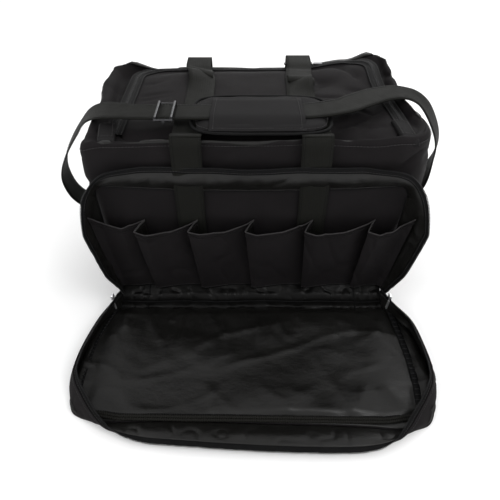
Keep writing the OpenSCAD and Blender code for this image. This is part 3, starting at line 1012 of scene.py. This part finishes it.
def edge_threads(path, across, off, up):
    """A row of dark stitches along each edge of some webbing."""
    t = tangents(path)
    a = square(unit(np.asarray(across, float)), t)
    n = np.cross(t, a)
    return [stitches(path + a * o + n * up, a, 3.8, 2.6, material=DARK_THREAD) for o in (-off, off)]


def make_front_webbing():
    parts = []
    for s in (-1, 1):
        line = [(s * (WEB_X + dx), FRONT - dy, z) for dx, dy, z in (
            (1.0, 2.2, 31), (0.6, 2.6, 120), (0, 2.8, 200), (-1.5, 5.2, 240), (-2.2, 5.4, 268), (-2.6, 6.0, 282),
            (-2.8, 5.2, 290), (-2.9, 2.4, 294.6))]
        path = spline(line, 90)
        parts += [ribbon(path, (1, 0, 0)), *edge_threads(path, (1, 0, 0), 16.5, -1.1)]
    piece("front_webbing_bands", parts, "shell", ("front_webbing",))


def handle_line(y_end, y_cross, half_x, n):
    """The centre line of a handle lying flat, as n points: two legs and a crossing."""
    r = 16.0
    d = math.copysign(1, y_cross - y_end)
    pts = [(-half_x, y_end), (-half_x, y_cross - d * r)]
    for a in np.radians(np.linspace(15, 90, 5)):
        pts.append((-half_x + r - r * math.cos(a), y_cross - d * r + d * r * math.sin(a)))
    return resample(np.array(pts + [(-x, y) for x, y in reversed(pts)]), n)


def make_front_handle(ground):
    """Each leg rolls over the front ridge and down behind it, then lies under the pad."""
    xy = handle_line(FRONT - 2.4, -56, WEB_X - 3, 170)
    z = np.array([max(ground.z(x + f * 16, y) for f in (-1, 0, 1)) for x, y in xy])
    z = np.where(xy[:, 1] < FRONT + 16, 0, z) + WEB_T
    back = ease(xy[:, 1], FRONT + 1, FRONT + 20)
    z = np.maximum(np.maximum(z, 287.0), mix(295.2, 287.5, back))
    smooth(z, 3)
    z = np.where(xy[:, 1] > FRONT + 8, np.minimum(z, 291.5), z)
    z[0] = z[-1] = 294.8
    t = tangents(vec(*xy.T, 0))
    band = ribbon(vec(*xy.T, z), vec(t[:, 1], -t[:, 0], 0))
    piece("front_handle_loop", [band], "front_grip", ("front_handle",))
    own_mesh(band)


def make_rear_handle(ground):
    """The legs arch over the rear edge; the left one has a diagonal fold and the right one is rolled."""
    xy = handle_line(REAR + 1.5, -66, WEB_X, 280)
    leg = ease(np.abs(xy[:, 0]), 20, 60)
    xy[:, 0] += leg * np.where(xy[:, 0] < 0, 11 * ease(-xy[:, 1], -105, -30),
                               -8 - 6 * ease(-xy[:, 1], -105, -30))
    x, y = xy[:, 0], xy[:, 1]
    z = np.array([max(ground.z(a + f * 18, b) for f in (-1, -0.5, 0, 0.5, 1)) for a, b in xy])
    z = np.where(z < 200, 266, z) + 1.4
    arch = 286.0 + 3.0 * (x > 0) + 1.5 * np.cos((y - 112) / 20)
    lifted = np.where(y > 88, np.maximum(z, arch), z)
    smooth(lifted, 14)
    lifted = np.maximum(lifted, z)
    under = ease(-y, 10, 26)
    lifted = mix(lifted, np.minimum(lifted, 290.6), under)
    free = (1 - under) * ease(128 - y, 0, 12)
    t = tangents(vec(x, y, 0))
    twist = np.where(x < 0, 0.30 * hill(y, 58, 26), 0.34 * hill(y, 22, 22)) * free
    path = vec(x, y, lifted + np.abs(twist) * 15)
    across = vec(t[:, 1], -t[:, 0], twist)
    parts = [ribbon(path, across), *edge_threads(path, across, 16.4, 1.1)]
    # the diagonal fold on the left leg and the roll on the right one
    u = np.linspace(-1, 1, 19)
    a = np.linspace(0, math.pi, 11)[:, None]
    for x0, y0, slant, high in ((-WEB_X + 7, 64.0, 12, 3.4), (WEB_X - 11, 32.0, 3, 5.0)):
        px = x0 + u * WEB_W * 0.5
        mid = y0 - u * slant
        at = np.array([ground.z(q, mid.mean(), 283) for q in px])
        parts.append(cloth(vec(px, mid + np.cos(a) * 9, at + 3.0 + np.sin(a) * high), [WEBBING], 1.6))
    piece("rear_handle_loop", parts, "rear_grip", ("rear_handle",))

    parts = []
    for s, up, x0 in ((-1, 0.0, -WEB_X), (1, 3.0, WEB_X - 8)):
        path = spline([(s * WEB_X, REAR + 5.5, 22), (s * WEB_X, REAR + 7.2, 140), (x0, REAR + 6.4, 230),
                       (x0, REAR + 4.6, 268), (x0, REAR + 3.4, 280 + up), (x0, REAR + 1.2, 286 + up)], 90)
        parts += [ribbon(path, (1, 0, 0)), *edge_threads(path, (1, 0, 0), 16.5, 1.1)]
    piece("rear_webbing_bands", parts, "shell", ("rear_webbing",))


# ---- Shoulder strap ----

LEFT_ROUTE = [(-97, -80, 301.4), (-148, -79, 301.4), (-176, -70, 298), (-200, -56, 290), (-222, -41, 275),
              (-242, -28, 252), (-268, -14, 218), (-290, -5, 182), (-299, 0, 150), (-292, 0, 118), (-272, 0, 98),
              (-248, 0, 96), (-228, 0, 107)]
RIGHT_ROUTE = [(-96, -80, 301.4), (-40, -80, 301.4), (60, -78, 301.4), (112, -66, 301.6), (140, -48, 300.6),
               (169, -28, 299), (200, -16, 297), (227, -12, 288), (250, -9, 268), (270, -5, 238), (281, -2, 212),
               (284, 0, 186), (280, 0, 158), (273, 0, 132), (262, 0, 111), (248, 0, 100), (228, 0, 107)]


def make_strap(skin):
    lo, hi = box_mm("triglide")
    mid_x = (lo[0] + hi[0]) / 2
    for name, route, node, lean in (("strap_short", LEFT_ROUTE, "strap_left", -0.12),
                                    ("strap_long", RIGHT_ROUTE, "strap_right", 0.42)):
        path = spline(route, 300)
        path[:, 2] += hill(path[:, 0], mid_x, 6.0) * 1.9 - 0.5 * hill(path[:, 0], mid_x, 16.0)
        turn = ease(path[:, 2], 140, 195) * ease(np.abs(path[:, 0]), 200, 255)
        tilt = vec(turn * lean, 1.0, 0.0)
        threads = [row for up in (1.1, -1.1) for row in edge_threads(path, tilt, 16.6, up)]
        piece(name, [ribbon(path, tilt), *threads], "strap", (node,))
    parts = []
    for s in (-1, 1):
        bar_x, bar_z = HALF_W + 13, 172      # the straight side of the D-ring
        line = [(skin.side(s, 0, z) + s * 1.6, 0, z) for z in (246, 230, 212, 194)]
        line += [(s * (bar_x + dx), 0, bar_z + dz)
                 for dx, dz in ((-3, 4.2), (2.6, 3.0), (3.6, -1), (0.6, -3.8), (-3.4, -2.0))]
        parts.append(ribbon(spline(line, 90), (0, 1, 0), 34, 1.6))
        box = resample(np.array([(-14, 200), (14, 200), (14, 240), (-14, 240), (-14, 200)], float), 120)
        box = np.array([(skin.side(s, 0, z) + s * 2.6, y, z) for y, z in box])
        parts.append(stitches(box, (1, 0, 0), 3.4, width=0.7))
    piece("ring_loops", parts, "shell", ("dring_loops",))


def middle_and_half(node):
    lo, hi = box_mm(node)
    return (lo + hi) / 2, (hi - lo) / 2


def make_pad():
    c, half = middle_and_half("shoulder_pad")
    a = np.linspace(0, 2 * math.pi, 168, endpoint=False)
    ring = np.stack([np.sign(f(a)) * np.abs(f(a)) ** 0.42 for f in (np.cos, np.sin)], axis=1)

    def oval(kx, ky, z):
        return vec(c[0] + ring[:, 0] * half[0] * kx, c[1] + ring[:, 1] * half[1] * ky, c[2] + z)

    p = np.stack([oval(k, k, z) for z, k in ((-2.2, 0.15), (-2.6, 0.6), (-2.4, 0.9), (-1.2, 0.985), (0.6, 0.985),
                                             (2.2, 0.93), (3.0, 0.8), (3.0, 0.5), (3.0, 0.15))])
    pad = grid(p, [CANVAS_PAD], wrap=True, cap_first=True, cap_last=True)
    pad = swell(pad, 5.0, 2.6)
    edge = oval(0.99, 0.99, -0.6)
    edge = np.vstack([edge, edge[:1]])
    edge[:, 2] += rumple(edge, 40, 201) * 0.5
    inner = oval(0.93, 0.87, 0)
    inner = np.vstack([inner, inner[:1]])
    ground = Ground(pad)
    inner[:, 2] = [ground.z(x, y, c[2] + 3) + 0.3 for x, y, _ in inner]
    pad = piece("shoulder_cushion", [pad, flat_tube(edge, 4.2, 1.6, TAPE), stitches(inner, (0, 0, 1), 3.6, 2.6, 0.8)],
                "strap", ("shoulder_pad",))


def flat_tube(path, width, half_height, material):
    """A closed loop of tube, wider than it is high."""
    t = tangents(path)
    t[0] = t[-1] = unit(t[0] + t[-1])
    a = unit(np.cross(t, (0.0, 0.0, 1.0)))
    ang = np.linspace(0, 2 * math.pi, 10, endpoint=False)
    p = path[:, None] + np.cos(ang)[None, :, None] * a[:, None] * width * 0.5
    p[..., 2] += np.sin(ang)[None] * half_height
    return grid(p, [material], wrap=True)


SWELL_FRAMES = 20


def swell(ob, voxel, cap):
    """Cloth simulation under a little pressure, with the movement capped and the result made the mesh."""
    remesh = ob.modifiers.new("remesh", "REMESH")
    remesh.mode = "VOXEL"
    remesh.voxel_size = voxel * MM
    remesh.use_smooth_shade = True
    settle(ob)
    before = np.array([v.co for v in ob.data.vertices])
    sim = ob.modifiers.new("cloth", "CLOTH")
    sim.settings.use_pressure = True
    sim.settings.uniform_pressure_force = 4.0
    sim.settings.effector_weights.gravity = 0.0
    sim.settings.quality = 6
    sim.point_cache.frame_start = 1
    sim.point_cache.frame_end = SWELL_FRAMES
    for k in range(SWELL_FRAMES):
        bpy.context.scene.frame_set(k + 1)
    settle(ob)
    bpy.context.scene.frame_set(1)
    move = np.array([v.co for v in ob.data.vertices]) - before
    far = np.linalg.norm(move, axis=1, keepdims=True)
    after = before + move * np.minimum(1, cap * MM / np.maximum(far, 1e-9))
    ob.data.vertices.foreach_set("co", after.astype(np.float32).ravel())
    ob.modifiers.new("smooth", "SUBSURF").levels = 1
    settle(ob)
    ob.data.polygons.foreach_set("use_smooth", np.ones(len(ob.data.polygons), bool))
    return ob


def make_sleeve():
    """The cover round the strap and the pad; its near edge turns down over the pad's."""
    c, half = middle_and_half("pad_sleeve")
    uu, vv = np.meshgrid(np.linspace(-1, 1, 46), np.linspace(-1, 1, 38))
    x = c[0] + uu * half[0] * (1 - 0.02 * vv)
    y = c[1] + vv * half[1]
    z = c[2] + 0.9 - 3.4 * ease(vv, 0.55, 1.0) - 7.5 * ease(-vv, 0.25, 1.0) ** 1.3
    z += rumple(vec(x, y, 0), 45, 211) * 0.9 * (1 - np.abs(uu) ** 4)
    p = vec(x, y, z)
    thread = stitches(border(p, 2, 35, 2, 43) + (0, 0, 1.0), (0, 0, 1), 3.6, 2.5, 0.7)
    piece("pad_cover", [cloth(p, [CANVAS_PAD], 1.3), thread], "strap", ("pad_sleeve",))


def make_body_seams(p):
    """The row of stitches that follows the top seam."""
    near = int(np.argmin(np.abs(p[:60, 90, 2] - STITCH_Z)))
    loop = np.vstack([p[near], p[near, :1]])
    out = unit(loop / (HALF_W ** 2, REAR ** 2, 1) * (1, 1, 0))
    piece("seam_thread", [stitches(loop + out * 0.7, (0, 0, 1), 4.0, 2.8, 0.75)], "shell")


# ---- Metal and hidden parts ----

def paint_nodes():
    def both(*names):
        return [f"{name}_{side}" for name in names for side in ("left", "right")]

    for finish, names in (
            (DARK_METAL, ["triglide", *both("snap_hook", "dring", "gate", "lid_slider", "lid_pull")]),
            (BRIGHT_METAL, both("pocket_slider", "pocket_pull")), (BOARD, ["base_board"])):
        for slots in (NODES[name].data.materials for name in names):
            if not slots:
                slots.append(finish)
            for k in range(len(slots)):
                slots[k] = finish


# ---- The whole bag ----

make_stage()
SKIN, BODY = make_body()
LID = make_lid()
TOP = Ground(SKIN, LID)
make_body_seams(BODY)
make_lid_zip()
make_zip_tabs()
make_rim()
make_pockets()
make_flap_wall()
make_flap_floor()
make_flap_bindings()
make_gusset()
make_front_webbing()
make_front_handle(TOP)
make_rear_handle(TOP)
make_strap(Ground(SKIN))
make_pad()
make_sleeve()
paint_nodes()
